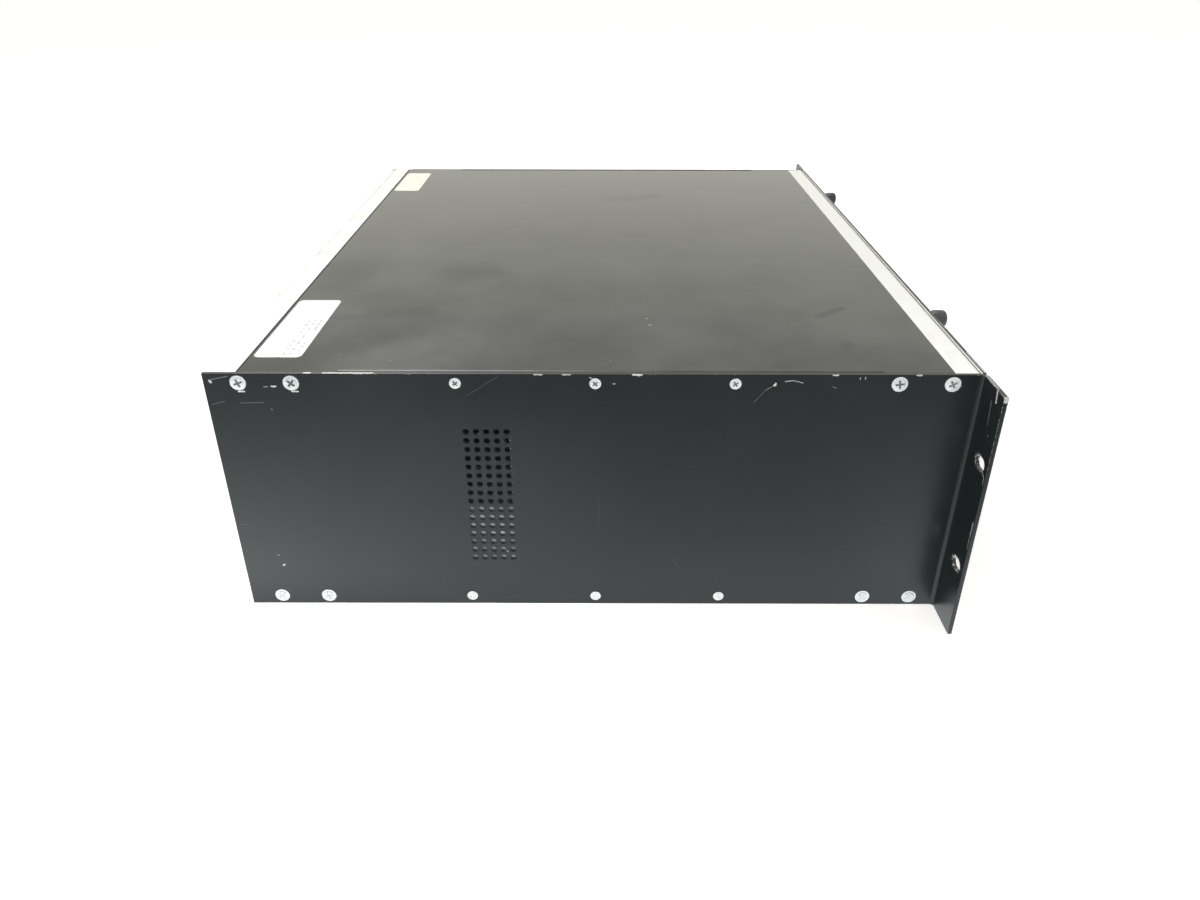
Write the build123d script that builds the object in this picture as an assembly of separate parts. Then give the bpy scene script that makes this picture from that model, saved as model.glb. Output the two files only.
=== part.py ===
from build123d import *
import os

# A closed 19 inch card frame, three height units tall, in millimetres.
# X runs across it from left to right, Y from the front door to the rear, Z up.
# The origin lies on the base, under the middle of the side plates.

# Envelope without the ears
body_width = 435.0
body_depth = 361.0
rack_height = 132.5

# Side plates and their rack ears
plate_thickness = 2.0
ear_width = 23.8
ear_bend_radius = 2.0
ear_slot_length = 10.5
ear_slot_width = 6.8
ear_slot_from_tip = 8.75
ear_slot_spacing = 57.15

# Vent of the left side plate
vent_rows = 16
vent_columns = 5
vent_pitch = 4.85
vent_hole_diameter = 3.0
vent_from_front = 232.0

# Extruded rails
rail_height = 9.6
rail_depth = 43.0
rail_lip = 11.0
rail_port_inset = 12.1
rail_port_spacing = 24.5
rail_port_diameter = 4.2
guide_groove_width = 12.0
guide_groove_depth = 5.0
screw_groove_width = 3.2
screw_groove_depth = 8.5

# Covers
cover_thickness = 1.6
cover_bend_radius = 0.8
cover_flange_height = 11.0
cover_screw_spacing = 64.7
cover_rear_gap = 1.1

# Front door and its captive thumbscrews
door_thickness = 2.2
door_gap = 1.1
door_edge_gap = 0.5
door_height_gap = 0.2
knob_diameter = 9.5
knob_length = 9.0
knob_edge_radius = 1.2
knob_hub_step = 0.8
knob_hub_height = 1.2
knob_hub_slope = 0.6
knob_from_side = 84.5
thumbscrew_reach = 7.0
retainer_diameter = 8.0
hook_width = 30.0
hook_height = 7.0
hook_tongue = 5.0
hook_from_side = 60.0

# Screws
rail_screw_head = 7.5
rail_screw_shank = 4.0
rail_screw_length = 12.0
small_screw_head = 5.5
small_screw_shank = 3.0
cover_screw_length = 4.0
supply_screw_length = 8.0
pan_head_diameter = 5.6
pan_head_height = 2.0
pan_head_flat = 0.64
pan_head_side = 0.35
pan_screw_length = 8.0
screw_sink = 0.1
hole_clearance = 0.1
cut_margin = 1.0

# Card bay: slots, guides and backplane
slot_pitch = 20.32
slot_side_margin = 1.0
guide_width = 6.0
guide_floor = 6.55
guide_groove_opening = 2.0
guide_slot_depth = 3.5
guide_end_gap = 0.5
backplane_thickness = 2.4
backplane_edge_gap = 0.5
clamp_depth = 12.0
backplane_screw_count = 5
backplane_screw_grip = 6.0
connector_end_gap = 0.6
connector_width = 11.0
connector_depth = 11.0
connector_slot_width = 3.0
connector_slot_depth = 6.5

# Supply bay
supply_bay_width = 91.0
divider_thickness = 1.5
divider_flange = 12.0
tray_thickness = 1.2
sheet_gap = 0.4
chassis_wall = 1.5
chassis_height = 95.0
chassis_front_gap = 15.3
chassis_vent_lap = 0.8
lid_thickness = 1.2
standoff_diameter = 6.0
standoff_height = 6.0
standoff_inset = 5.0
board_thickness = 1.6
board_edge_gap = 2.0
transformer_size = 42.0
transformer_height = 38.0
transformer_from_side = 3.0
transformer_from_front = 6.0
winding_inset = 5.0
heatsink_length = 90.0
heatsink_width = 18.0
heatsink_height = 50.0
heatsink_base = 3.0
heatsink_from_side = 2.0
heatsink_from_front = 6.0
fin_count = 6
fin_thickness = 1.4
capacitor_diameter = 22.0
capacitor_height = 40.0
capacitor_gap = 3.0
capacitor_from_terminals = 6.0
terminal_pitch = 9.5
terminal_count = 5
terminal_wall = 1.5
terminal_depth = 14.0
terminal_height = 13.0
terminal_from_edge = 1.0

# Rear side
rear_recess = 1.8
rear_plate_thickness = 2.0
rear_plate_gap = 0.3
inlet_from_side = 34.0
inlet_height = 30.0
inlet_cutout_width = 27.0
inlet_cutout_height = 20.0
inlet_flange = 2.2
inlet_flange_thickness = 2.5
inlet_body_depth = 20.0
inlet_wall = 1.6
inlet_cavity_depth = 15.0
inlet_corner = 5.0
pin_width = 4.0
pin_thickness = 2.0
pin_length = 12.0
pin_spacing = 14.0
earth_pin_rise = 2.0
fuse_from_side = 72.0
fuse_body_diameter = 12.0
fuse_flange_diameter = 16.0
fuse_flange_thickness = 2.0
fuse_body_depth = 26.0
fuse_cap_diameter = 11.0
fuse_cap_height = 7.0
fuse_cap_chamfer = 0.8
fuse_slot_width = 1.6
fuse_slot_depth = 1.5
stud_from_side = 72.0
stud_height = 62.0
stud_diameter = 5.0
stud_length = 22.0
nut_across_flats = 8.0
nut_thickness = 3.0

# Labels on the top cover
label_thickness = 0.15
label_corner = 3.0
rating_label_size = (79.2, 23.0)
rating_label_from_corner = (18.9, 17.2)
asset_label_size = (63.6, 19.8)
asset_label_from_corner = (17.6, 17.3)

# Planes and faces that several pieces share
body_half = body_width / 2
inner_half = body_half - plate_thickness
ear_tip = body_half + ear_width
front_y = -body_depth / 2
rear_y = body_depth / 2
ear_rear_y = front_y + plate_thickness
door_rear_y = front_y + door_thickness
rail_front_y = door_rear_y + door_gap
rail_rear_y = rear_y - rear_recess - rear_plate_thickness
middle_y = (rail_front_y + rail_rear_y) / 2
front_rail_inner_y = rail_front_y + rail_depth
rear_rail_inner_y = rail_rear_y - rail_depth
middle_z = rack_height / 2
rail_axis_z = rail_height / 2
screw_rows_z = (rail_axis_z, rack_height - rail_axis_z)
small_hole = small_screw_shank + 2 * hole_clearance
port_ys = (
    rail_front_y + rail_port_inset,
    rail_front_y + rail_port_inset + rail_port_spacing,
    rail_rear_y - rail_port_inset - rail_port_spacing,
    rail_rear_y - rail_port_inset,
)
cover_screw_ys = (middle_y - cover_screw_spacing, middle_y, middle_y + cover_screw_spacing)
groove_front_y = rail_front_y + rail_port_inset + (rail_port_spacing - guide_groove_width) / 2
divider_x = -inner_half + supply_bay_width
bay_left_x = divider_x + divider_thickness
slot_count = int((inner_half - slot_side_margin - bay_left_x) // slot_pitch)
first_slot_x = inner_half - slot_side_margin - (slot_count - 0.5) * slot_pitch
slot_xs = [first_slot_x + i * slot_pitch for i in range(slot_count)]
backplane_front_y = rear_rail_inner_y - backplane_thickness
clamp_front_y = backplane_front_y - clamp_depth
clamp_groove_width = clamp_depth / 2
slot_floor_z = rail_height + guide_floor
guide_top_z = slot_floor_z + guide_slot_depth
tray_top_z = cover_thickness + tray_thickness
chassis_left_x = -inner_half + cover_thickness + 2 * sheet_gap
tray_left_x = -inner_half + hole_clearance + cover_thickness + cover_bend_radius + sheet_gap
chassis_right_x = divider_x - sheet_gap
vent_y = front_y + vent_from_front
chassis_rear_y = (
    vent_y - (vent_columns - 1) / 2 * vent_pitch - vent_hole_diameter / 2 + chassis_vent_lap
)
chassis_front_y = front_rail_inner_y + chassis_front_gap
board_left_x = chassis_left_x + chassis_wall + board_edge_gap
board_right_x = chassis_right_x - chassis_wall - board_edge_gap
board_front_y = chassis_front_y + board_edge_gap
board_rear_y = chassis_rear_y - board_edge_gap
board_bottom_z = tray_top_z + chassis_wall + standoff_height
board_top_z = board_bottom_z + board_thickness
panel_outer_y = rail_rear_y + rear_plate_thickness

front_rear_mirror = Plane(origin=(0, middle_y, 0), z_dir=(0, 1, 0))
left_right_mirror = Plane.YZ
top_bottom_mirror = Plane(origin=(0, 0, middle_z), z_dir=(0, 0, 1))


def block(x0, x1, y0, y1, z0, z1):
    """A rectangular solid between two corners."""
    return Pos((x0 + x1) / 2, (y0 + y1) / 2, (z0 + z1) / 2) * Box(x1 - x0, y1 - y0, z1 - z0)


def rod_x(x0, x1, y, z, diameter):
    return Pos((x0 + x1) / 2, y, z) * Rot(0, 90, 0) * Cylinder(diameter / 2, x1 - x0)


def rod_y(x, y0, y1, z, diameter):
    return Pos(x, (y0 + y1) / 2, z) * Rot(90, 0, 0) * Cylinder(diameter / 2, y1 - y0)


def rod_z(x, y, z0, z1, diameter):
    return Pos(x, y, (z0 + z1) / 2) * Cylinder(diameter / 2, z1 - z0)


def through_y(x, y0, y1, z, diameter):
    """A round cutter along Y, through a wall and past both its faces."""
    return rod_y(x, y0 - cut_margin, y1 + cut_margin, z, diameter)


def small_holes_y(xs, y0, y1, zs):
    """Clearance holes for the small screws along Y, at every pair of the given X and Z."""
    return [through_y(x, y0, y1, z, small_hole) for x in xs for z in zs]


def run_along_y(section, y0, y1):
    """A section drawn in X and Z, run from one Y to another."""
    return Pos(0, y0, 0) * extrude(Plane.XZ * section, amount=y0 - y1)


def countersunk_screw(head, shank, length):
    """A 90 degree countersunk screw: the flat of its head at the origin, its shank along +Z."""
    cone = (head - shank) / 2
    profile = Polyline(
        (0, 0),
        (head / 2, 0),
        (shank / 2, cone),
        (shank / 2, length),
        (0, length),
        close=True,
    )
    return revolve(Plane.XZ * make_face(profile), Axis.Z)


def pan_screw(head, head_height, shank, length):
    """A low pan head screw: the underside of its head at the origin, its shank along +Z."""
    profile = Polyline(
        (0, -head_height),
        (head / 2 * pan_head_flat, -head_height),
        (head / 2, -head_height * pan_head_side),
        (head / 2, 0),
        (shank / 2, 0),
        (shank / 2, length),
        (0, length),
        close=True,
    )
    return revolve(Plane.XZ * make_face(profile), Axis.Z)


def countersunk_hole(head, shank, depth):
    """The cutter for such a screw: its origin lies on the sheet's outer face."""
    outside = 0.5
    wide = head + 2 * (hole_clearance + screw_sink + outside)
    return Pos(0, 0, -outside) * countersunk_screw(wide, shank + 2 * hole_clearance, depth + outside)


pointing_right = Rot(0, 90, 0)
pointing_rear = Rot(-90, 0, 0)
pointing_front = Rot(90, 0, 0)


def side_plate(vented):
    """The left side plate: one sheet with its front edge bent outwards into the rack ear."""
    outline = Polyline(
        (-ear_tip, front_y),
        (-inner_half, front_y),
        (-inner_half, rear_y),
        (-body_half, rear_y),
        (-body_half, ear_rear_y),
        (-ear_tip, ear_rear_y),
        close=True,
    )
    section = make_face(outline)
    corners = section.vertices()
    outer_corner = corners.sort_by_distance((-inner_half, front_y))[0]
    inner_corner = corners.sort_by_distance((-body_half, ear_rear_y))[0]
    section = fillet(outer_corner, ear_bend_radius + plate_thickness)
    section = fillet(section.vertices().sort_by_distance(inner_corner)[0], ear_bend_radius)
    plate = extrude(section, amount=rack_height)

    slot = SlotOverall(ear_slot_length, ear_slot_width)
    slot = pointing_front * extrude(slot, amount=2 * plate_thickness, both=True)
    holes = [
        Pos(ear_slot_from_tip - ear_tip, front_y, middle_z + side * ear_slot_spacing / 2) * slot
        for side in (-1, 1)
    ]
    depth = 2 * plate_thickness
    rail_hole = pointing_right * countersunk_hole(rail_screw_head, rail_screw_shank, depth)
    cover_hole = pointing_right * countersunk_hole(small_screw_head, small_screw_shank, depth)
    for z in screw_rows_z:
        holes += [Pos(-body_half, y, z) * rail_hole for y in port_ys]
        holes += [Pos(-body_half, y, z) * cover_hole for y in cover_screw_ys]
    if vented:
        vent = rod_x(-body_half - cut_margin, -inner_half + cut_margin, 0, 0, vent_hole_diameter)
        for column in range(vent_columns):
            for row in range(vent_rows):
                y = vent_y + (column - (vent_columns - 1) / 2) * vent_pitch
                z = middle_z + (row - (vent_rows - 1) / 2) * vent_pitch
                holes.append(Pos(0, y, z) * vent)
    return plate - holes


def front_upper_rail():
    """The extrusion that all four rails are cut from, as it lies at the front of the top."""
    top = rack_height
    under = top - rail_height
    inner = front_rail_inner_y
    groove_rear = groove_front_y + guide_groove_width
    axis = top - rail_axis_z
    half_groove = screw_groove_width / 2
    outline = Polyline(
        (rail_front_y, top),
        (rail_front_y + rail_lip, top),
        (rail_front_y + rail_lip, top - cover_thickness),
        (inner, top - cover_thickness),
        (inner, under),
        (groove_rear, under),
        (groove_rear, under + guide_groove_depth),
        (groove_front_y, under + guide_groove_depth),
        (groove_front_y, under),
        (rail_front_y, under),
        (rail_front_y, axis - half_groove),
        (rail_front_y + screw_groove_depth, axis - half_groove),
        (rail_front_y + screw_groove_depth, axis + half_groove),
        (rail_front_y, axis + half_groove),
        close=True,
    )
    ports = [Pos(y, axis) * Circle(rail_port_diameter / 2) for y in port_ys[:2]]
    section = make_face(outline) - ports
    return extrude(Plane.YZ * section, amount=inner_half, both=True)


def rails():
    """The four rails, two of them drilled for the backplane and all four for the divider."""
    top_row = screw_rows_z[1:]
    front_upper = front_upper_rail()
    rear_upper = mirror(front_upper, about=front_rear_mirror)
    front = front_rail_inner_y
    rear = rear_rail_inner_y
    front_upper -= small_holes_y(divider_screw_xs, front - pan_screw_length, front, top_row)
    rear_upper -= small_holes_y(divider_screw_xs, rear, rear + pan_screw_length, top_row)
    rear_upper -= small_holes_y(backplane_screw_xs, rear, rear + backplane_screw_grip, top_row)
    return {
        "front_upper_rail": front_upper,
        "front_lower_rail": mirror(front_upper, about=top_bottom_mirror),
        "rear_upper_rail": rear_upper,
        "rear_lower_rail": mirror(rear_upper, about=top_bottom_mirror),
    }


def top_cover():
    """A sheet between the side plates, in the rebates of the rails, with a flange down each side."""
    half = inner_half - hole_clearance
    top = rack_height
    under = top - cover_thickness
    low = top - cover_flange_height
    outline = Polyline(
        (-half, low),
        (-half, top),
        (half, top),
        (half, low),
        (half - cover_thickness, low),
        (half - cover_thickness, under),
        (-half + cover_thickness, under),
        (-half + cover_thickness, low),
        close=True,
    )
    section = make_face(outline)
    outer = section.vertices().filter_by(lambda v: abs(v.Y - top) < 0.01)
    section = fillet(outer, cover_bend_radius + cover_thickness)
    inner = section.vertices().filter_by(lambda v: abs(v.Y - under) < 0.01)
    section = fillet(inner, cover_bend_radius)
    flanged = run_along_y(section, front_rail_inner_y + sheet_gap, clamp_front_y - sheet_gap)
    front_edge = rail_front_y + rail_lip + hole_clearance
    rear_edge = rail_rear_y - rail_lip - cover_rear_gap
    cover = flanged + block(-half, half, front_edge, front_rail_inner_y + sheet_gap, under, top)
    cover += block(-half, half, clamp_front_y - sheet_gap, rear_edge, under, top)
    outside = inner_half + cut_margin
    inside = inner_half - 2 * cover_thickness
    for y in cover_screw_ys:
        cover -= rod_x(-outside, -inside, y, screw_rows_z[1], small_hole)
        cover -= rod_x(inside, outside, y, screw_rows_z[1], small_hole)
    return cover


def bottom_cover():
    """The same pressing as the top cover, drilled for the screws that hold the supply."""
    cover = mirror(top_cover(), about=top_bottom_mirror)
    hole = countersunk_hole(small_screw_head, small_screw_shank, 2 * cover_thickness)
    return cover - [Pos(x, y, 0) * hole for x, y in supply_screw_places]


def front_door():
    half_width = inner_half - door_edge_gap
    low = door_height_gap
    high = rack_height - door_height_gap
    door = block(-half_width, half_width, front_y, door_rear_y, low, high)
    return door - small_holes_y(knob_xs, front_y, door_rear_y, screw_rows_z[1:])


def door_hook(x):
    """An angle on the back of the door whose tongue drops into the lower rail's screw groove."""
    z = screw_rows_z[0]
    left = x - hook_width / 2
    right = x + hook_width / 2
    foot_end = rail_front_y - hole_clearance
    foot = block(left, right, door_rear_y, foot_end, z - hook_height / 2, z + hook_height / 2)
    half = screw_groove_width / 2 - hole_clearance
    return foot + block(left, right, door_rear_y, rail_front_y + hook_tongue, z - half, z + half)


def knob(x):
    """A moulded thumbscrew head with a rounded front edge and a hub that stands on the door."""
    r = knob_diameter / 2
    hub = r - knob_hub_step
    edge = min(knob_edge_radius, r / 2)
    slope_end = knob_hub_height + knob_hub_slope
    with BuildSketch(Plane.XZ) as half_section:
        with BuildLine():
            Polyline((0, 0), (hub, 0), (hub, knob_hub_height), (r, slope_end), (r, knob_length - edge))
            RadiusArc((r, knob_length - edge), (r - edge, knob_length), -edge)
            Polyline((r - edge, knob_length), (0, knob_length), (0, 0))
        make_face()
    return Pos(x, front_y, screw_rows_z[1]) * pointing_front * revolve(half_section.sketch, Axis.Z)


def thumbscrew_shank(x):
    """The steel thread of a thumbscrew, from the knob through the door into the rail."""
    return rod_y(x, front_y, rail_front_y + thumbscrew_reach, screw_rows_z[1], small_screw_shank)


def retainer(x):
    """The nylon washer that keeps the thumbscrew in the door and spaces it off the rail."""
    z = screw_rows_z[1]
    ring = rod_y(x, door_rear_y, rail_front_y, z, retainer_diameter)
    return ring - through_y(x, door_rear_y, rail_front_y, z, small_screw_shank + hole_clearance)


def left_screws(head, shank, length, ys):
    screw = pointing_right * countersunk_screw(head, shank, length)
    return [Pos(-body_half + screw_sink, y, z) * screw for z in screw_rows_z for y in ys]


def mirrored(solids):
    return [mirror(s, about=left_right_mirror) for s in solids]


def bay_divider():
    """A folded wall between supply and cards, its end flanges screwed to the rails."""
    front = front_rail_inner_y
    rear = rear_rail_inner_y
    flange_x = divider_x - divider_flange + divider_thickness
    z0 = cover_thickness + hole_clearance
    z1 = rack_height - z0
    wall = block(divider_x, bay_left_x, front, rear, z0, z1)
    wall += block(flange_x, bay_left_x, front, front + divider_thickness, z0, z1)
    wall += block(flange_x, bay_left_x, rear - divider_thickness, rear, z0, z1)
    wall -= small_holes_y(divider_screw_xs, front, front + divider_thickness, screw_rows_z)
    return wall - small_holes_y(divider_screw_xs, rear - divider_thickness, rear, screw_rows_z)


def divider_screws():
    screw = pan_screw(pan_head_diameter, pan_head_height, small_screw_shank, pan_screw_length)
    placed = []
    for x in divider_screw_xs:
        for z in screw_rows_z:
            placed.append(Pos(x, front_rail_inner_y + divider_thickness, z) * pointing_front * screw)
            placed.append(Pos(x, rear_rail_inner_y - divider_thickness, z) * pointing_rear * screw)
    return placed


def lower_card_guide(x):
    """A moulded U channel on the lower rails, with a foot in each groove that it crosses."""
    base = rail_height
    top = guide_top_z
    half = guide_width / 2
    slot = guide_groove_opening / 2
    outline = Polyline(
        (x - half, base),
        (x + half, base),
        (x + half, top),
        (x + slot, top),
        (x + slot, slot_floor_z),
        (x - slot, slot_floor_z),
        (x - slot, top),
        (x - half, top),
        close=True,
    )
    channel = run_along_y(make_face(outline), groove_front_y, backplane_front_y - guide_end_gap)
    front_foot = block(
        x - half,
        x + half,
        groove_front_y + hole_clearance,
        groove_front_y + guide_groove_width - hole_clearance,
        base - guide_groove_depth + hole_clearance,
        base,
    )
    groove = clamp_front_y + (clamp_depth - clamp_groove_width) / 2
    rear_foot = block(
        x - half,
        x + half,
        groove + hole_clearance,
        groove + clamp_groove_width - hole_clearance,
        base - guide_groove_depth / 2 + hole_clearance,
        base,
    )
    return channel + front_foot + rear_foot


def lower_clamp_bar():
    """The bar that holds the backplane against the lower rear rail and seats the guides."""
    left = bay_left_x + sheet_gap
    right = inner_half - sheet_gap
    bar = block(left, right, clamp_front_y, backplane_front_y, cover_thickness, rail_height)
    groove = clamp_front_y + (clamp_depth - clamp_groove_width) / 2
    bar -= block(
        bay_left_x,
        inner_half,
        groove,
        groove + clamp_groove_width,
        rail_height - guide_groove_depth / 2,
        rail_height + cut_margin,
    )
    return bar - small_holes_y(backplane_screw_xs, clamp_front_y, backplane_front_y, screw_rows_z[:1])


def backplane_board():
    left = bay_left_x + sheet_gap
    right = inner_half - sheet_gap
    low = cover_thickness + backplane_edge_gap
    board = block(left, right, backplane_front_y, rear_rail_inner_y, low, rack_height - low)
    return board - small_holes_y(backplane_screw_xs, backplane_front_y, rear_rail_inner_y, screw_rows_z)


def backplane_screws():
    length = clamp_depth + backplane_thickness + backplane_screw_grip
    screw = pointing_rear * pan_screw(pan_head_diameter, pan_head_height, small_screw_shank, length)
    return [Pos(x, clamp_front_y, z) * screw for z in screw_rows_z for x in backplane_screw_xs]


def backplane_connector(x):
    """A female connector block with the slot that takes a card's row of contacts."""
    front = backplane_front_y - connector_depth
    half_length = middle_z - guide_top_z - connector_end_gap
    body = block(
        x - connector_width / 2,
        x + connector_width / 2,
        front,
        backplane_front_y,
        middle_z - half_length,
        middle_z + half_length,
    )
    slot = connector_slot_width / 2
    reach = half_length - connector_slot_width / 2
    return body - block(
        x - slot,
        x + slot,
        front - cut_margin,
        front + connector_slot_depth,
        middle_z - reach,
        middle_z + reach,
    )


def rear_slot_plate(x):
    half = (slot_pitch - rear_plate_gap) / 2
    high = rack_height - rear_plate_gap
    plate = block(x - half, x + half, rail_rear_y, panel_outer_y, rear_plate_gap, high)
    return plate - small_holes_y([x], rail_rear_y, panel_outer_y, screw_rows_z)


def rear_screws(xs):
    screw = pan_screw(pan_head_diameter, pan_head_height, small_screw_shank, pan_screw_length)
    return [Pos(x, panel_outer_y, z) * pointing_front * screw for z in screw_rows_z for x in xs]


def rear_supply_panel():
    """The rear panel over the supply bay, cut for the inlet, the fuse holder and the earth stud."""
    left = -inner_half + rear_plate_gap
    right = slot_xs[0] - slot_pitch / 2 - rear_plate_gap / 2
    high = rack_height - rear_plate_gap
    panel = block(left, right, rail_rear_y, panel_outer_y, rear_plate_gap, high)
    half_width = inlet_cutout_width / 2 + hole_clearance
    half_height = inlet_cutout_height / 2 + hole_clearance
    panel -= block(
        inlet_x - half_width,
        inlet_x + half_width,
        rail_rear_y - cut_margin,
        panel_outer_y + cut_margin,
        inlet_height - half_height,
        inlet_height + half_height,
    )
    fuse_hole = fuse_body_diameter + 2 * hole_clearance
    stud_hole = stud_diameter + 2 * hole_clearance
    panel -= through_y(fuse_x, rail_rear_y, panel_outer_y, inlet_height, fuse_hole)
    panel -= through_y(stud_x, rail_rear_y, panel_outer_y, stud_height, stud_hole)
    return panel - small_holes_y(supply_panel_screw_xs, rail_rear_y, panel_outer_y, screw_rows_z)


def inlet_section(width, height, corner):
    """The mouth of a mains inlet: a rectangle whose two upper corners are cut off."""
    half_width = width / 2
    half_height = height / 2
    return make_face(
        Polyline(
            (-half_width, -half_height),
            (half_width, -half_height),
            (half_width, half_height - corner),
            (half_width - corner, half_height),
            (-half_width + corner, half_height),
            (-half_width, half_height - corner),
            close=True,
        )
    )


def inlet_socket():
    """A snap-in mains inlet: flange on the panel, body behind it, a deep recess for the plug."""
    width = inlet_cutout_width
    height = inlet_cutout_height
    outer_y = panel_outer_y + inlet_flange_thickness
    inner_y = panel_outer_y - inlet_body_depth
    flange = Rectangle(width + 2 * inlet_flange, height + 2 * inlet_flange)
    flange = fillet(flange.vertices(), inlet_flange / 2)
    mouth = inlet_section(width - 2 * inlet_wall, height - 2 * inlet_wall, inlet_corner)
    socket = run_along_y(Rectangle(width, height), inner_y, panel_outer_y)
    socket += run_along_y(flange, panel_outer_y, outer_y)
    socket -= run_along_y(mouth, outer_y - inlet_cavity_depth, outer_y + cut_margin)
    return Pos(inlet_x, 0, inlet_height) * socket


def inlet_pins():
    """Three upright blades on the floor of the recess, the earth blade higher than the other two."""
    floor_y = panel_outer_y + inlet_flange_thickness - inlet_cavity_depth
    side = pin_spacing / 2
    places = ((-side, -earth_pin_rise), (side, -earth_pin_rise), (0, earth_pin_rise))
    return [
        block(
            inlet_x + x - pin_thickness / 2,
            inlet_x + x + pin_thickness / 2,
            floor_y,
            floor_y + pin_length,
            inlet_height + z - pin_width / 2,
            inlet_height + z + pin_width / 2,
        )
        for x, z in places
    ]


def fuse_holder():
    face = panel_outer_y
    body = rod_y(fuse_x, face - fuse_body_depth, face, inlet_height, fuse_body_diameter)
    return body + rod_y(fuse_x, face, face + fuse_flange_thickness, inlet_height, fuse_flange_diameter)


def fuse_cap():
    """The screw cap of the fuse holder, with a coin slot across its face."""
    base = panel_outer_y + fuse_flange_thickness
    face = base + fuse_cap_height
    cap = rod_y(fuse_x, base, face, inlet_height, fuse_cap_diameter)
    rim = cap.edges().filter_by(GeomType.CIRCLE).sort_by(Axis.Y)[-1]
    cap = chamfer(rim, fuse_cap_chamfer)
    reach = fuse_cap_diameter / 2
    return cap - block(
        fuse_x - reach,
        fuse_x + reach,
        face - fuse_slot_depth,
        face + cut_margin,
        inlet_height - fuse_slot_width / 2,
        inlet_height + fuse_slot_width / 2,
    )


def ground_stud():
    half = stud_length / 2
    return rod_y(stud_x, panel_outer_y - half, panel_outer_y + half, stud_height, stud_diameter)


def ground_nuts():
    """One nut each side of the panel."""
    ring = RegularPolygon(nut_across_flats / 2, 6, major_radius=False)
    ring -= Circle(stud_diameter / 2 + hole_clearance)
    nut = Pos(stud_x, 0, stud_height)
    return [
        nut * run_along_y(ring, rail_rear_y - nut_thickness, rail_rear_y),
        nut * run_along_y(ring, panel_outer_y, panel_outer_y + nut_thickness),
    ]


def supply_tray():
    """The bare sheet floor of the supply bay."""
    gap = divider_thickness + pan_head_height + sheet_gap
    right = divider_x - hole_clearance
    front = front_rail_inner_y + gap
    rear = rear_rail_inner_y - gap
    tray = block(tray_left_x, right, front, rear, cover_thickness, tray_top_z)
    return tray - [rod_z(x, y, 0, tray_top_z + cut_margin, small_hole) for x, y in supply_screw_places]


def supply_chassis():
    """A folded U channel, open upwards, that carries the supply's board."""
    top = tray_top_z + chassis_height
    outline = Polyline(
        (chassis_left_x, tray_top_z),
        (chassis_right_x, tray_top_z),
        (chassis_right_x, top),
        (chassis_right_x - chassis_wall, top),
        (chassis_right_x - chassis_wall, tray_top_z + chassis_wall),
        (chassis_left_x + chassis_wall, tray_top_z + chassis_wall),
        (chassis_left_x + chassis_wall, top),
        (chassis_left_x, top),
        close=True,
    )
    chassis = run_along_y(make_face(outline), chassis_front_y, chassis_rear_y)
    hole_top = tray_top_z + chassis_wall + cut_margin
    return chassis - [rod_z(x, y, 0, hole_top, small_hole) for x, y in supply_screw_places]


def supply_lid():
    low = tray_top_z + chassis_height
    high = low + lid_thickness
    return block(chassis_left_x, chassis_right_x, chassis_front_y, chassis_rear_y, low, high)


def supply_standoffs():
    bottom = tray_top_z + chassis_wall
    hole_top = supply_screw_length + 2 * screw_sink
    return [
        rod_z(x, y, bottom, board_bottom_z, standoff_diameter) - rod_z(x, y, 0, hole_top, small_hole)
        for x, y in supply_screw_places
    ]


def supply_board():
    return block(
        board_left_x,
        board_right_x,
        board_front_y,
        board_rear_y,
        board_bottom_z,
        board_top_z,
    )


def supply_transformer():
    """A laminated core with its winding showing on both sides."""
    half = transformer_size / 2
    low = board_top_z
    high = low + transformer_height
    x = board_left_x + transformer_from_side + half
    y = board_front_y + transformer_from_front + half
    core = block(x - half, x + half, y - half / 2, y + half / 2, low, high)
    winding_half = half - 2 * winding_inset
    winding_low = low + winding_inset
    winding_high = high - winding_inset
    return core + block(
        x - winding_half, x + winding_half, y - half, y + half, winding_low, winding_high
    )


def supply_heatsink():
    """A finned extrusion standing on the board, its fins upright."""
    high = board_top_z + heatsink_height
    x1 = board_right_x - heatsink_from_side
    x0 = x1 - heatsink_width
    y0 = board_front_y + heatsink_from_front
    sink = block(x0, x0 + heatsink_base, y0, y0 + heatsink_length, board_top_z, high)
    for i in range(fin_count):
        y = y0 + i * (heatsink_length - fin_thickness) / (fin_count - 1)
        sink += block(x0, x1, y, y + fin_thickness, board_top_z, high)
    return sink


def supply_capacitors():
    x = board_left_x + capacitor_gap + capacitor_diameter / 2
    y = board_rear_y - terminal_depth - capacitor_from_terminals - capacitor_diameter / 2
    step = capacitor_diameter + capacitor_gap
    return [
        rod_z(x + i * step, y - j * step, board_top_z, board_top_z + capacitor_height, capacitor_diameter)
        for i in range(2)
        for j in range(2)
    ]


def supply_terminals():
    """A barrier strip at the rear edge of the board, with a wall between each pair of terminals."""
    width = terminal_count * terminal_pitch + terminal_wall
    x0 = (board_left_x + board_right_x - width) / 2
    y1 = board_rear_y - terminal_from_edge
    y0 = y1 - terminal_depth
    strip = block(x0, x0 + width, y0, y1, board_top_z, board_top_z + terminal_height / 2)
    for i in range(terminal_count + 1):
        x = x0 + i * terminal_pitch
        strip += block(x, x + terminal_wall, y0, y1, board_top_z, board_top_z + terminal_height)
    return strip


def supply_screws():
    screw = countersunk_screw(small_screw_head, small_screw_shank, supply_screw_length)
    return [Pos(x, y, screw_sink) * screw for x, y in supply_screw_places]


def label(size, x0, y1):
    """A paper label with rounded corners on the top cover, from its left and rear edges."""
    width, depth = size
    face = Pos(x0 + width / 2, y1 - depth / 2) * RectangleRounded(width, depth, label_corner)
    return Pos(0, 0, rack_height) * extrude(face, amount=label_thickness)


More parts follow.
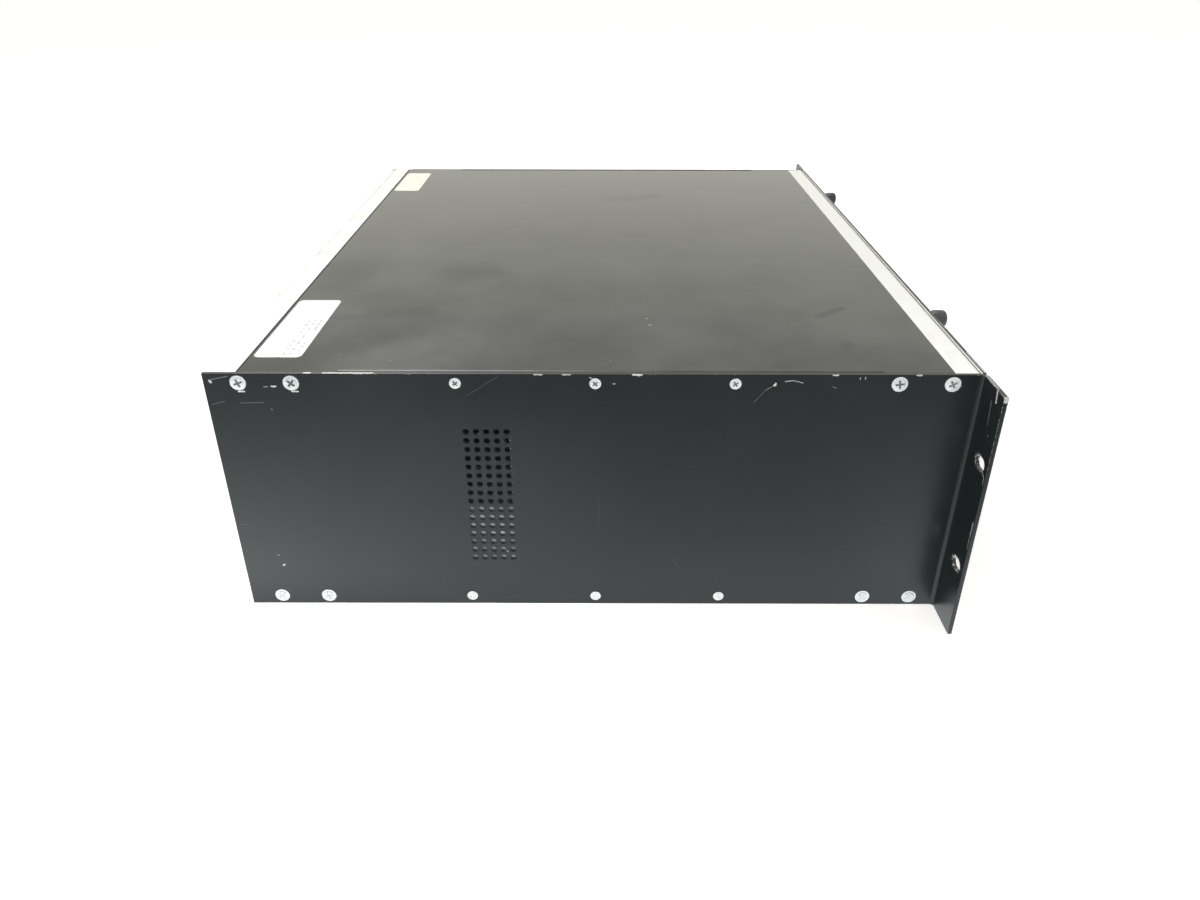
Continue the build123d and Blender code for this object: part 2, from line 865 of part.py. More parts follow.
# Places that several pieces share
knob_xs = (-body_half + knob_from_side, body_half - knob_from_side)
hook_xs = (-body_half + hook_from_side, body_half - hook_from_side)
divider_screw_xs = (divider_x - divider_flange / 2 + divider_thickness / 2,)
backplane_left_x = bay_left_x + slot_pitch
backplane_step = (inner_half - slot_pitch - backplane_left_x) / (backplane_screw_count - 1)
backplane_screw_xs = [backplane_left_x + i * backplane_step for i in range(backplane_screw_count)]
supply_screw_places = [
    (x, y)
    for x in (board_left_x + standoff_inset, board_right_x - standoff_inset)
    for y in (board_front_y + standoff_inset, board_rear_y - standoff_inset)
]
inlet_x = -inner_half + inlet_from_side
fuse_x = -inner_half + fuse_from_side
stud_x = -inner_half + stud_from_side
supply_panel_screw_xs = (-inner_half + slot_pitch / 2, slot_xs[0] - slot_pitch)

left_rail_screws = left_screws(rail_screw_head, rail_screw_shank, rail_screw_length, port_ys)
left_cover_screws = left_screws(small_screw_head, small_screw_shank, cover_screw_length, cover_screw_ys)
lower_guides = [lower_card_guide(x) for x in slot_xs]
lower_clamp = lower_clamp_bar()

nodes = {
    "left_side_plate": side_plate(vented=True),
    "right_side_plate": mirror(side_plate(vented=False), about=left_right_mirror),
    **rails(),
    "top_cover": top_cover(),
    "bottom_cover": bottom_cover(),
    "left_rail_screws": left_rail_screws,
    "right_rail_screws": mirrored(left_rail_screws),
    "left_cover_screws": left_cover_screws,
    "right_cover_screws": mirrored(left_cover_screws),
    "front_door": front_door(),
    "door_hooks": [door_hook(x) for x in hook_xs],
    "thumbscrew_knobs": [knob(x) for x in knob_xs],
    "thumbscrew_shanks": [thumbscrew_shank(x) for x in knob_xs],
    "thumbscrew_retainers": [retainer(x) for x in knob_xs],
    "bay_divider": bay_divider(),
    "divider_screws": divider_screws(),
    "lower_card_guides": lower_guides,
    "upper_card_guides": [mirror(g, about=top_bottom_mirror) for g in lower_guides],
    "backplane_board": backplane_board(),
    "backplane_connectors": [backplane_connector(x) for x in slot_xs],
    "lower_clamp_bar": lower_clamp,
    "upper_clamp_bar": mirror(lower_clamp, about=top_bottom_mirror),
    "backplane_screws": backplane_screws(),
    "rear_slot_plates": [rear_slot_plate(x) for x in slot_xs],
    "rear_plate_screws": rear_screws(slot_xs),
    "rear_supply_panel": rear_supply_panel(),
    "supply_panel_screws": rear_screws(supply_panel_screw_xs),
    "inlet_socket": inlet_socket(),
    "inlet_pins": inlet_pins(),
    "fuse_holder": fuse_holder(),
    "fuse_cap": fuse_cap(),
    "ground_stud": ground_stud(),
    "ground_nuts": ground_nuts(),
    "supply_tray": supply_tray(),
    "supply_chassis": supply_chassis(),
    "supply_lid": supply_lid(),
    "supply_standoffs": supply_standoffs(),
    "supply_board": supply_board(),
    "supply_transformer": supply_transformer(),
    "supply_heatsink": supply_heatsink(),
    "supply_capacitors": supply_capacitors(),
    "supply_terminals": supply_terminals(),
    "supply_screws": supply_screws(),
    "rating_label": label(
        rating_label_size, -body_half + rating_label_from_corner[0], rear_y - rating_label_from_corner[1]
    ),
    "asset_label": label(
        asset_label_size,
        body_half - asset_label_from_corner[0] - asset_label_size[0],
        rear_y - asset_label_from_corner[1],
    ),
}

os.makedirs("parts", exist_ok=True)
for name, shape in nodes.items():
    solids = shape if isinstance(shape, list) else [shape]
    pieces = [solid for one in solids for solid in one.solids()]
    export_step(Compound(pieces), "parts/" + name + ".step")
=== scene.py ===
import math

import bpy
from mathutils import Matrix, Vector


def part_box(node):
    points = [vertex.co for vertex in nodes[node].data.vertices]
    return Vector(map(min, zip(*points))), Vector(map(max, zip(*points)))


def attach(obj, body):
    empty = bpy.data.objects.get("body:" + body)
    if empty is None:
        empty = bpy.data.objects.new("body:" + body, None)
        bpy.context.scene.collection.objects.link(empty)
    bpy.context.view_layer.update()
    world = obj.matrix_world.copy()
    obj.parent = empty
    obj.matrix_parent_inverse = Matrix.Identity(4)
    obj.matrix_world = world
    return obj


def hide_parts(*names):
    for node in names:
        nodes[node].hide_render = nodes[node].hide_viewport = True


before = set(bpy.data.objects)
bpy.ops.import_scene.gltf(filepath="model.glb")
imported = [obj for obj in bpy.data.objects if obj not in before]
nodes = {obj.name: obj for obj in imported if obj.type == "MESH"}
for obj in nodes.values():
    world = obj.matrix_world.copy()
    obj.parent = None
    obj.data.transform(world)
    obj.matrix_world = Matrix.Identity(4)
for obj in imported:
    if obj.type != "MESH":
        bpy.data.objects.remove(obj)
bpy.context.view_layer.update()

scene = bpy.context.scene
mm = 0.001
plate_x = 217.5
top = 132.5

# The floor: a seamless sheet of white studio paper that the frame stands on. It takes the
# frame's soft shadow. The left plate and its screws mirror it, and there it shows a painted
# reflection: bright close to the plate and at both ends, with painted shade away from the frame.


def linear(hex_colour):
    """An sRGB hex colour as the linear values that Blender's sockets take."""
    channels = [int(hex_colour[i:i + 2], 16) / 255 for i in (1, 3, 5)]
    return [c / 12.92 if c <= 0.04045 else ((c + 0.055) / 1.055) ** 2.4 for c in channels] + [1.0]


def add(tree, kind, inputs=None, **settings):
    """Adds one node: its settings, then its inputs as values, sockets or nodes."""
    node = tree.nodes.new(kind)
    for name, value in settings.items():
        setattr(node, name, value)
    for key, source in (inputs or {}).items():
        if isinstance(source, bpy.types.Node):
            source = source.outputs[0]
        if isinstance(source, bpy.types.NodeSocket):
            tree.links.new(source, node.inputs[key])
        else:
            node.inputs[key].default_value = source
    return node


def blank_material(name):
    """A material with an empty node tree."""
    material = bpy.data.materials.new(name)
    material.use_nodes = True
    material.node_tree.nodes.clear()
    return material


paper_half_width = 15.0
near_lift, far_lift = 0.36, 0.6
mirror_start = -0.245
mirror_reach = 0.158
mirror_least = 0.12
rear_end = (0.02, 0.24, 1.35)
front_end = (-0.12, -0.23, 0.5)
paper = blank_material("white studio paper")
tree = paper.node_tree
paths = add(tree, "ShaderNodeLightPath").outputs
matt = add(tree, "ShaderNodeBsdfDiffuse", {"Color": linear("#F5F4F2")})
seen = add(
    tree, "ShaderNodeMath", {0: paths["Is Camera Ray"], 1: paths["Is Transmission Ray"]},
    operation="MAXIMUM",
)
spot = add(tree, "ShaderNodeSeparateXYZ", {0: add(tree, "ShaderNodeTexCoord").outputs["Object"]}).outputs
lift = add(
    tree, "ShaderNodeMapRange",
    {"Value": spot["X"], "From Min": -0.1, "From Max": 0.5, "To Min": near_lift, "To Max": far_lift},
)
lift = add(tree, "ShaderNodeMath", {0: seen, 1: lift}, operation="MULTIPLY")
glow = add(tree, "ShaderNodeEmission", {"Color": linear("#FFFCF3"), "Strength": lift})
looked_at = add(tree, "ShaderNodeAddShader", {0: matt, 1: glow})
# Painted reflection: what mirrored rays see of the paper is a glow set by place, bright near the left plate
# and at both ends, and falling to painted shade towards the camera.
fall = add(
    tree, "ShaderNodeMath", {0: spot["X"], 1: 1 / mirror_reach, 2: -mirror_start / mirror_reach},
    operation="MULTIPLY_ADD",
)
fall = add(tree, "ShaderNodeMath", {0: fall}, operation="EXPONENT")
fall = add(tree, "ShaderNodeMath", {0: fall, 1: 1.0}, operation="MINIMUM")
beside = add(tree, "ShaderNodeMapRange", {"Value": spot["X"], "From Min": -0.20, "From Max": mirror_start})
ends = 0.0
for first, last, extra in (rear_end, front_end):
    end = add(
        tree, "ShaderNodeMapRange",
        {"Value": spot["Y"], "From Min": first, "From Max": last, "To Max": extra},
        interpolation_type="SMOOTHSTEP",
    )
    ends = add(tree, "ShaderNodeMath", {0: end, 1: ends}, operation="ADD")
gain = add(tree, "ShaderNodeMath", {0: ends, 1: beside, 2: 1.0}, operation="MULTIPLY_ADD")
painted_reflection_glow = add(tree, "ShaderNodeMath", {0: fall, 1: gain}, operation="MULTIPLY")
painted_reflection_glow = add(tree, "ShaderNodeMath", {0: painted_reflection_glow, 1: mirror_least}, operation="MAXIMUM")
mirrored = add(tree, "ShaderNodeEmission", {"Color": linear("#F7FCFE"), "Strength": painted_reflection_glow})
both = add(tree, "ShaderNodeMixShader", {0: paths["Is Glossy Ray"], 1: looked_at, 2: mirrored})
add(tree, "ShaderNodeOutputMaterial", {"Surface": both})

mesh = bpy.data.meshes.new("floor")
half = paper_half_width
corners = [(-half, -half, 0), (half, -half, 0), (half, half, 0), (-half, half, 0)]
mesh.from_pydata(corners, [], [(0, 1, 2, 3)])
mesh.materials.append(paper)
floor = bpy.data.objects.new("floor", mesh)
scene.collection.objects.link(floor)

# The studio: a white room that is darker behind the camera, with one broad lamp up on the
# far side, and the camera's own small lamp, with a beam that reaches in through the vent.

scene.view_settings.view_transform = "Standard"
room = bpy.data.worlds.new("studio")
scene.world = room
room.use_nodes = True
tree = room.node_tree
tree.nodes.clear()
paths = add(tree, "ShaderNodeLightPath").outputs
way = add(tree, "ShaderNodeSeparateXYZ", {0: add(tree, "ShaderNodeTexCoord").outputs["Generated"]}).outputs
wall = add(
    tree, "ShaderNodeMapRange",
    {"Value": way["X"], "From Min": -0.4, "From Max": 0.3, "To Min": 0.25, "To Max": 1.0},
)
soft = add(tree, "ShaderNodeBackground", {"Color": linear("#F7F9FF"), "Strength": 0.5})
height = add(
    tree, "ShaderNodeMapRange",
    {"Value": way["Z"], "From Min": 0.2, "From Max": 0.36, "To Min": 1.06, "To Max": 0.72},
)
wall = add(tree, "ShaderNodeMath", {0: wall, 1: height}, operation="MULTIPLY")
mirrored = add(tree, "ShaderNodeBackground", {"Color": linear("#FFFEF1"), "Strength": wall})
white = add(tree, "ShaderNodeBackground", {"Color": linear("#FFFFFF"), "Strength": 1.0})
seen = add(
    tree, "ShaderNodeMath", {0: paths["Is Camera Ray"], 1: paths["Is Transmission Ray"]},
    operation="MAXIMUM",
)
unseen = add(tree, "ShaderNodeMixShader", {0: paths["Is Glossy Ray"], 1: soft, 2: mirrored})
mixed = add(tree, "ShaderNodeMixShader", {0: seen, 1: unseen, 2: white})
add(tree, "ShaderNodeOutputWorld", {"Surface": mixed})

beside_camera = (-0.600, -0.003, 0.308)
for name, place, aim, size, spread, power, in_mirrors in (
    ("far lamp", (0.9, 0.7, 1.6), (0.05, 0.05, 0.05), 1.4, 180, 20.0, True),
    ("camera lamp", beside_camera, (-0.2, 0.0, 0.06), 0.012, 180, 2.1, False),
    ("camera beam", beside_camera, (-0.2175, 0.0515, 0.05), 0.012, 18, 0.024, False),
):
    lamp = bpy.data.lights.new(name, "AREA")
    lamp.size = size
    lamp.spread = math.radians(spread)
    lamp.energy = power
    holder = bpy.data.objects.new(name, lamp)
    scene.collection.objects.link(holder)
    holder.visible_camera = False
    holder.visible_glossy = in_mirrors
    holder.location = place
    holder.rotation_euler = (Vector(aim) - Vector(place)).to_track_quat("-Z", "Y").to_euler()

# The camera: a wide phone lens near the left side, a little above the top cover,
# solved from the plate's corners, its screws and the ear in the photograph.

camera = bpy.data.objects.new("camera", bpy.data.cameras.new("camera"))
scene.collection.objects.link(camera)
camera.location = (-0.59697, -0.00296, 0.30420)
camera.rotation_euler = [math.radians(angle) for angle in (60.8848, -0.0833, -89.8823)]
camera.data.sensor_fit = "HORIZONTAL"
camera.data.sensor_width = 36.0
camera.data.lens = 27.1806
camera.data.clip_start = 0.01
camera.data.clip_end = 60.0
scene.camera = camera

# The side plates: 2 mm steel sheet, its front edge folded out into a rack ear, then
# powder coated. The coat is a satin black with a fine orange peel. Handling has worn it
# to bare metal along the edges, and it has chips and long scratches by the screws.

orange_peel = 1.5 * mm
cloud_size = 80 * mm
chip_size = 1.1 * mm
dust_spacing = 6 * mm


def near(tree, place, start, end, width, strength, core, rag=1.0):
    """How close a place is to a line between two points: strength inside core, 0 at width."""
    start = Vector(start) * mm
    along = Vector(end) * mm - start
    squared = max(along.length_squared, 1e-12)
    away = add(tree, "ShaderNodeVectorMath", {0: place, 1: start}, operation="SUBTRACT")
    share = add(tree, "ShaderNodeVectorMath", {0: away, 1: along / squared}, operation="DOT_PRODUCT")
    share = add(tree, "ShaderNodeClamp", {"Value": share.outputs["Value"]})
    foot = add(tree, "ShaderNodeVectorMath", {0: along, "Scale": share}, operation="SCALE")
    gap = add(tree, "ShaderNodeVectorMath", {0: away, 1: foot}, operation="DISTANCE").outputs["Value"]
    gap = add(tree, "ShaderNodeMath", {0: gap, 1: rag}, operation="MULTIPLY")
    reach = width / 2 * mm
    return add(
        tree, "ShaderNodeMapRange",
        {"Value": gap, "From Min": reach, "From Max": reach * core, "To Min": 0.0, "To Max": strength},
        interpolation_type="SMOOTHSTEP",
    )


def satin_black(name, marks=(), smears=(), edge_wear=0.5, dust=0.5, gloss=0.32, clouding=0.05,
                film=0.06, lines=(), pale=(), spared=()):
    """Black powder coat on sheet metal. A mark is (start, end, width, strength) of a place
    without coat, a line the same with a straight edge, pale the same with cream paint, a
    smear the same of a greasy place, and spared the same where edges aren't worn, in mm."""
    material = blank_material(name)
    tree = material.node_tree
    place = add(tree, "ShaderNodeTexCoord").outputs["Object"]
    peel = add(tree, "ShaderNodeTexNoise", {"Vector": place, "Scale": 1 / orange_peel, "Detail": 2.0})
    clouds = add(
        tree, "ShaderNodeTexNoise",
        {"Vector": place, "Scale": 1 / cloud_size, "Detail": 6.0, "Roughness": 0.62},
    )
    flecks = add(tree, "ShaderNodeTexNoise", {"Vector": place, "Scale": 1 / chip_size, "Detail": 4.0})
    ragged = add(
        tree, "ShaderNodeMapRange",
        {"Value": flecks, "From Min": 0.3, "From Max": 0.7, "To Min": 0.6, "To Max": 1.7},
    )
    smeared = add(
        tree, "ShaderNodeMapRange",
        {"Value": clouds, "From Min": 0.35, "From Max": 0.65, "To Min": 0.6, "To Max": 1.6},
    )

    rounded = add(tree, "ShaderNodeBevel", {"Radius": 0.5 * mm}, samples=6)
    flat = add(tree, "ShaderNodeNewGeometry").outputs["Normal"]
    turn = add(tree, "ShaderNodeVectorMath", {0: rounded, 1: flat}, operation="DOT_PRODUCT")
    edge = add(
        tree, "ShaderNodeMapRange", {"Value": turn.outputs["Value"], "From Min": 0.995, "From Max": 0.90}
    )
    patchy = add(
        tree, "ShaderNodeMapRange",
        {"Value": clouds, "From Min": 0.42, "From Max": 0.60, "To Min": -0.20, "To Max": 0.10},
    )
    patchy = add(tree, "ShaderNodeMath", {0: flecks, 1: patchy}, operation="ADD")
    worn = add(
        tree, "ShaderNodeMapRange",
        {"Value": patchy, "From Min": 0.66 - 0.2 * edge_wear, "From Max": 0.72 - 0.2 * edge_wear},
    )
    bare = add(tree, "ShaderNodeMath", {0: edge, 1: worn}, operation="MULTIPLY")
    for start, end, width, strength in spared:
        kept = near(tree, place, start, end, width, -strength, 0.8)
        bare = add(tree, "ShaderNodeMath", {0: bare, 1: kept, 2: bare}, operation="MULTIPLY_ADD")
    for group, core, rag in ((marks, 0.45, ragged), (lines, 0.8, 1.0)):
        for start, end, width, strength in group:
            mark = near(tree, place, start, end, width, strength, core, rag)
            bare = add(tree, "ShaderNodeMath", {0: bare, 1: mark}, operation="MAXIMUM")
    rubbed = 0.0
    for start, end, width, strength in smears:
        smear = near(tree, place, start, end, width, strength, 0.0, smeared)
        rubbed = add(tree, "ShaderNodeMath", {0: smear, 1: rubbed}, operation="MAXIMUM")

    specks = add(tree, "ShaderNodeTexVoronoi", {"Vector": place, "Scale": 1 / dust_spacing})
    specks = add(
        tree, "ShaderNodeMapRange",
        {"Value": specks.outputs["Distance"], "From Min": 0.05, "From Max": 0.03, "To Max": dust},
    )
    haze = add(
        tree, "ShaderNodeMapRange",
        {"Value": clouds, "From Min": 0.38, "From Max": 0.62, "To Min": 0.4 * film, "To Max": film},
    )
    clean = add(tree, "ShaderNodeMath", {0: 1.0, 1: rubbed}, operation="SUBTRACT")
    haze = add(tree, "ShaderNodeMath", {0: haze, 1: clean}, operation="MULTIPLY")
    dusty = add(tree, "ShaderNodeMath", {0: specks, 1: haze}, operation="MAXIMUM")
    coat = add(
        tree, "ShaderNodeMix", {"Factor": dusty, "A": linear("#101618"), "B": linear("#555653")},
        data_type="RGBA",
    )
    steel = add(
        tree, "ShaderNodeMix", {"Factor": flecks, "A": linear("#B3AEA7"), "B": linear("#FFFEFB")},
        data_type="RGBA",
    )
    colour = add(
        tree, "ShaderNodeMix", {"Factor": bare, "A": coat.outputs["Result"], "B": steel.outputs["Result"]},
        data_type="RGBA",
    )
    least, most = gloss - clouding, gloss + clouding
    rough = add(
        tree, "ShaderNodeMapRange",
        {"Value": clouds, "From Min": 0.3, "From Max": 0.7, "To Min": least, "To Max": most},
    )
    rough = add(tree, "ShaderNodeMath", {0: rubbed, 1: 0.05, 2: rough}, operation="MULTIPLY_ADD")
    rough = add(tree, "ShaderNodeMix", {"Factor": bare, "A": rough, "B": 0.3}, data_type="FLOAT")
    colour = colour.outputs["Result"]
    for start, end, width, strength in pale:
        painted = near(tree, place, start, end, width, strength, 0.8)
        colour = add(
            tree, "ShaderNodeMix", {"Factor": painted, "A": colour, "B": linear("#F4F1E8")},
            data_type="RGBA",
        ).outputs["Result"]
        bare = add(tree, "ShaderNodeMath", {0: bare, 1: painted}, operation="SUBTRACT", use_clamp=True)
    metallic = add(tree, "ShaderNodeMath", {0: bare, 1: 0.5}, operation="MULTIPLY")
    bump = add(
        tree, "ShaderNodeBump",
        {"Strength": 0.25, "Distance": 0.02 * mm, "Height": peel, "Normal": rounded},
    )
    shader = add(
        tree, "ShaderNodeBsdfPrincipled",
        {"Base Color": colour, "Metallic": metallic, "Roughness": rough, "Normal": bump, "IOR": 1.6},
    )
    add(tree, "ShaderNodeOutputMaterial", {"Surface": shader})
    return material


def dress(material, *names):
    """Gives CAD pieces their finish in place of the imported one."""
    for name in names:
        for slot in nodes[name].material_slots:
            slot.material = material


face = -plate_x
rim = top - 0.1
ear_face = -178.5
ear_y = -179.5
left_marks = [
    ((face, 177.5, 128.9), (face, 176.9, 128.1), 1.4, 1.0),
    ((face, 149.3, 126.1), (face, 147.3, 126.1), 1.1, 1.0),
    ((face, 152.9, 125.9), (face, 151.3, 125.9), 0.7, 0.35),
    ((face, 165.2, 117.5), (face, 154.0, 117.8), 0.5, 0.12),
    ((face, 178.6, 116.7), (face, 172.3, 118.4), 0.5, 0.1),
    ((face, 177.6, 129.3), (face, 168.5, 131.2), 0.5, 0.2),
    ((face, 151.3, 114.2), (face, 150.9, 114.0), 0.8, 0.2),
    ((face, 59.7, 121.3), (face, 44.6, 131.5), 0.4, 0.06),
    ((face, 2.2, 130.9), (face, 1.5, 130.5), 1.0, 0.3),
    ((face, -8.3, 127.8), (face, -9.1, 127.8), 0.8, 0.3),
    ((face, -83.3, 127.5), (face, -82.8, 127.2), 1.5, 1.0),
    ((face, -83.1, 127.2), (face, -79.3, 125.0), 0.6, 0.15),
    ((face, -79.3, 125.0), (face, -73.9, 118.3), 0.6, 0.06),
    ((face, -87.7, 129.1), (face, -91.4, 129.6), 0.7, 0.4),
    ((face, -91.4, 129.6), (face, -95.9, 128.4), 0.7, 0.3),
    ((face, -121.9, 131.1), (face, -121.9, 130.2), 0.6, 0.5),
    ((face, -124.3, 131.3), (face, -124.3, 130.4), 0.6, 0.5),
    ((face, -109.8, 126.5), (face, -111.6, 125.8), 0.5, 0.15),
    ((face, 162.6, 30.9), (face, 162.0, 30.7), 1.0, 0.25),
    ((face, 160.8, 24.3), (face, 160.1, 24.9), 1.3, 0.8),
    ((face, 177.8, 49.5), (face, 173.7, 49.5), 0.5, 0.08),
    ((face, -1.8, 66.0), (face, -1.8, 49.4), 0.4, 0.05),
    ((face, -39.9, 28.6), (face, -43.7, 22.9), 0.4, 0.07),
    ((face + 1, 124.7, rim), (face + 1, 102.2, rim), 1.8, 0.9),
    ((face + 1, 133.7, rim), (face + 1, 130.9, rim), 1.8, 1.0),
    ((face, 27.6, rim), (face, 24.3, rim), 1.2, 0.5),
    ((face, 14.8, rim), (face, 11.3, rim), 1.2, 0.5),
    ((face, -17.7, rim), (face, -21.3, rim), 1.6, 1.0),
    ((face, -109.5, rim), (face, -111.5, rim), 1.4, 0.7),
    ((face, -147.9, rim), (face, -149.9, rim), 1.4, 0.7),
    ((-233.6, ear_face, 132.0), (-234.4, ear_face, 127.0), 2.0, 1.0),
    ((-229.9, ear_face, 125.7), (-231.4, ear_face, 114.3), 0.9, 0.2),
    ((-234.1, ear_face, 110.0), (-234.1, ear_face, 109.6), 0.8, 0.4),
    ((-237.0, ear_face, 92.9), (-240.0, ear_face, 90.9), 1.0, 0.6),
    ((-240.0, ear_face, 90.9), (-239.9, ear_face, 87.7), 0.8, 0.5),
    ((-240.1, ear_face, 66.2), (-240.0, ear_face, 59.0), 1.2, 0.8),
    ((-239.9, ear_face, 57.8), (-240.1, ear_face, 51.8), 0.8, 0.5),
    ((-241.0, ear_y, rim), (-241.2, ear_y, 130.6), 2.6, 0.8),
    ((-232.0, -179.4, rim), (-218.0, -179.4, rim), 1.6, 0.5),
]
# Painted highlights: bare, straight-edged crescents at the lower right of three top screws, standing in for
# a glint on their countersinks.
left_painted_glints = [
    ((face, 165.0, 123.45), (face, 162.3, 123.45), 0.8, 1.0),
    ((face, 140.2, 123.5), (face, 137.4, 123.5), 0.8, 0.8),
    ((face, 64.8, 127.2), (face, 63.2, 127.2), 0.5, 0.4),
]
slot_x = -232.55
slot_length = 10.5
slot_width = 6.8
slot_rim = 1.3
reach = (slot_length - slot_width) / 2
for slot_z in (66.25 - 28.575, 66.25 + 28.575):
    first = (slot_x - reach, ear_y, slot_z)
    last = (slot_x + reach, ear_y, slot_z)
    left_marks.append((first, last, slot_width + slot_rim, 1.0))
vent_y = 51.5
vent_top = 103.0
vent_foot = 30.0
vent_width = 36.0
vent_chips = [
    ((face, 55.7, 102.2), (face, 55.3, 101.6), 0.8, 0.6),
    ((face, 41.1, 103.5), (face, 40.7, 102.7), 1.0, 0.8),
    ((face, 44.9, 33.8), (face, 44.5, 33.2), 0.9, 0.6),
]
left_coat = satin_black(
    "satin black coat, worn", left_marks + vent_chips, edge_wear=0.42, dust=0.3, lines=left_painted_glints,
    spared=[
        ((face + 1, vent_y, vent_foot), (face + 1, vent_y, vent_top), vent_width, 1.0),
        ((-241.3, ear_y, 124.0), (-241.3, ear_y, 72.0), 8.0, 0.7),
    ],
)
dress(left_coat, "left_side_plate")

# The right plate has the same wear, mirrored and drawn in a little along its length

ear_start = 178
squeeze = 0.93
right_marks = []
for (x, y, z), (u, v, t), width, strength in left_marks:
    y = -y * squeeze if abs(y) < ear_start else y
    v = -v * squeeze if abs(v) < ear_start else v
    right_marks.append(((-x, y, z), (-u, v, t), width, strength))
right_lines = [((plate_x - 1, 164.0, rim), (plate_x - 1, 181.5, rim), 3.6, 1.0)]
right_coat = satin_black("satin black coat, far side", right_marks, edge_wear=0.42, lines=right_lines)
dress(right_coat, "right_side_plate")

# The covers: 1.6 mm sheet in the rebates of the rails, with a folded flange down each
# side, in the same black coat. The top one is a little glossier from wiping and has
# greasy smudges and a rub near its front edge.

cover_smears = [
    ((-69.0, 79.0, top), (-69.0, 67.0, top), 56.0, 1.0),
    ((112.8, -13.8, top), (119.5, -45.2, top), 28.0, 0.6),
    ((-98.0, 148.0, top), (-62.0, 146.0, top), 40.0, 0.9),
    ((-142.7, -118.1, top), (-130.5, -133.1, top), 12.0, 0.9),
    ((12.6, -22.7, top), (10.2, -34.2, top), 18.0, 0.5),
    ((-147.1, 134.3, top), (-137.9, 88.4, top), 18.0, 0.9),
    ((-90.1, 52.7, top), (-89.1, 52.0, top), 14.0, 0.5),
    ((-57.2, -98.6, top), (-56.5, -99.5, top), 14.0, 0.5),
    ((-182.5, -123.1, top), (-181.5, -123.6, top), 14.0, 0.6),
    ((-208.1, -86.7, top), (-207.1, -87.2, top), 10.0, 0.5),
]
cover_marks = [
    ((-146.2, -26.8, top), (-145.9, -27.1, top), 0.9, 1.0),
    ((-155.5, -27.9, top), (-155.2, -28.2, top), 1.0, 1.0),
    ((-195.1, 122.2, top), (-194.9, 122.2, top), 0.7, 0.5),
    ((-202.1, 96.7, top), (-201.9, 96.7, top), 0.7, 0.5),
    ((-201.6, -7.4, top), (-201.4, -7.4, top), 0.7, 0.5),
]
cover_coat = satin_black(
    "satin black coat, wiped", cover_marks, cover_smears, edge_wear=0.3, dust=0.3, gloss=0.17,
    clouding=0.06, film=0.6,
)
dress(cover_coat, "top_cover")
plain_coat = satin_black("satin black coat", edge_wear=0.35, dust=0.3)
dress(plain_coat, "bottom_cover", "bay_divider")

# The front door: a 2.2 mm plate between the ears, black like the plates. A thin cream
# line runs along the inner side of its upper edge, and the edge is worn at the near end.

door_top = 132.3
door_marks = [
    ((-214.0, -180.0, door_top), (-190.0, -180.0, door_top), 0.9, 0.8),
    ((-160.0, -180.0, door_top), (-150.0, -180.0, door_top), 0.5, 0.5),
]
door_lip = [((-214.8, -178.3, door_top), (214.8, -178.3, door_top), 1.1, 0.95)]
door_coat = satin_black("satin black coat, front", door_marks, edge_wear=0.45, pale=door_lip)
dress(door_coat, "front_door")

# The rails: aluminium extrusion in a clear satin anodise, drawn along their length,
# with the faint lines of the die and a few grey rub marks. Dark lines of painted shade run
# along the rear lip beside the cover and along the front edge by the door's gap.


def metal(name, dark, light, rough, streak, across=(1, 1, 1), metallic=1.0, dirt_and_painted_light=(), stain_and_painted_light="#101112"):
    """A bare or plated metal: fine streaks across one direction and a soft blotch. A marked place
    is (start, end, width, strength), in mm, in the stain colour: real dirt, and in places painted shade and
    painted light."""
    material = blank_material(name)
    tree = material.node_tree
    place = add(tree, "ShaderNodeTexCoord").outputs["Object"]
    drawn = add(tree, "ShaderNodeMapping", {"Vector": place, "Scale": across})
    lines = add(tree, "ShaderNodeTexNoise", {"Vector": drawn, "Scale": 1 / streak, "Detail": 3.0})
    blotch = add(tree, "ShaderNodeTexNoise", {"Vector": place, "Scale": 1 / (22 * mm), "Detail": 4.0})
    tone = add(tree, "ShaderNodeMath", {0: lines, 1: blotch}, operation="MULTIPLY")
    tone = add(tree, "ShaderNodeMapRange", {"Value": tone, "From Min": 0.12, "From Max": 0.38})
    colour = add(
        tree, "ShaderNodeMix", {"Factor": tone, "A": linear(dark), "B": linear(light)}, data_type="RGBA"
    )
    for start, end, width, strength in dirt_and_painted_light:
        grime_and_painted_light = near(tree, place, start, end, width, strength, 0.6)
        colour = add(
            tree, "ShaderNodeMix", {"Factor": grime_and_painted_light, "A": colour.outputs["Result"], "B": linear(stain_and_painted_light)},
            data_type="RGBA",
        )
    ruff = add(
        tree, "ShaderNodeMapRange",
        {"Value": blotch, "From Min": 0.3, "From Max": 0.7, "To Min": rough - 0.05, "To Max": rough + 0.08},
    )
    rounded = add(tree, "ShaderNodeBevel", {"Radius": 0.25 * mm}, samples=4)
    bump = add(
        tree, "ShaderNodeBump", {"Strength": 0.2, "Distance": 0.02 * mm, "Height": lines, "Normal": rounded}
    )
    shader = add(
        tree, "ShaderNodeBsdfPrincipled",
        {"Base Color": colour.outputs["Result"], "Metallic": metallic, "Roughness": ruff, "Normal": bump},
    )
    add(tree, "ShaderNodeOutputMaterial", {"Surface": shader})
    return material


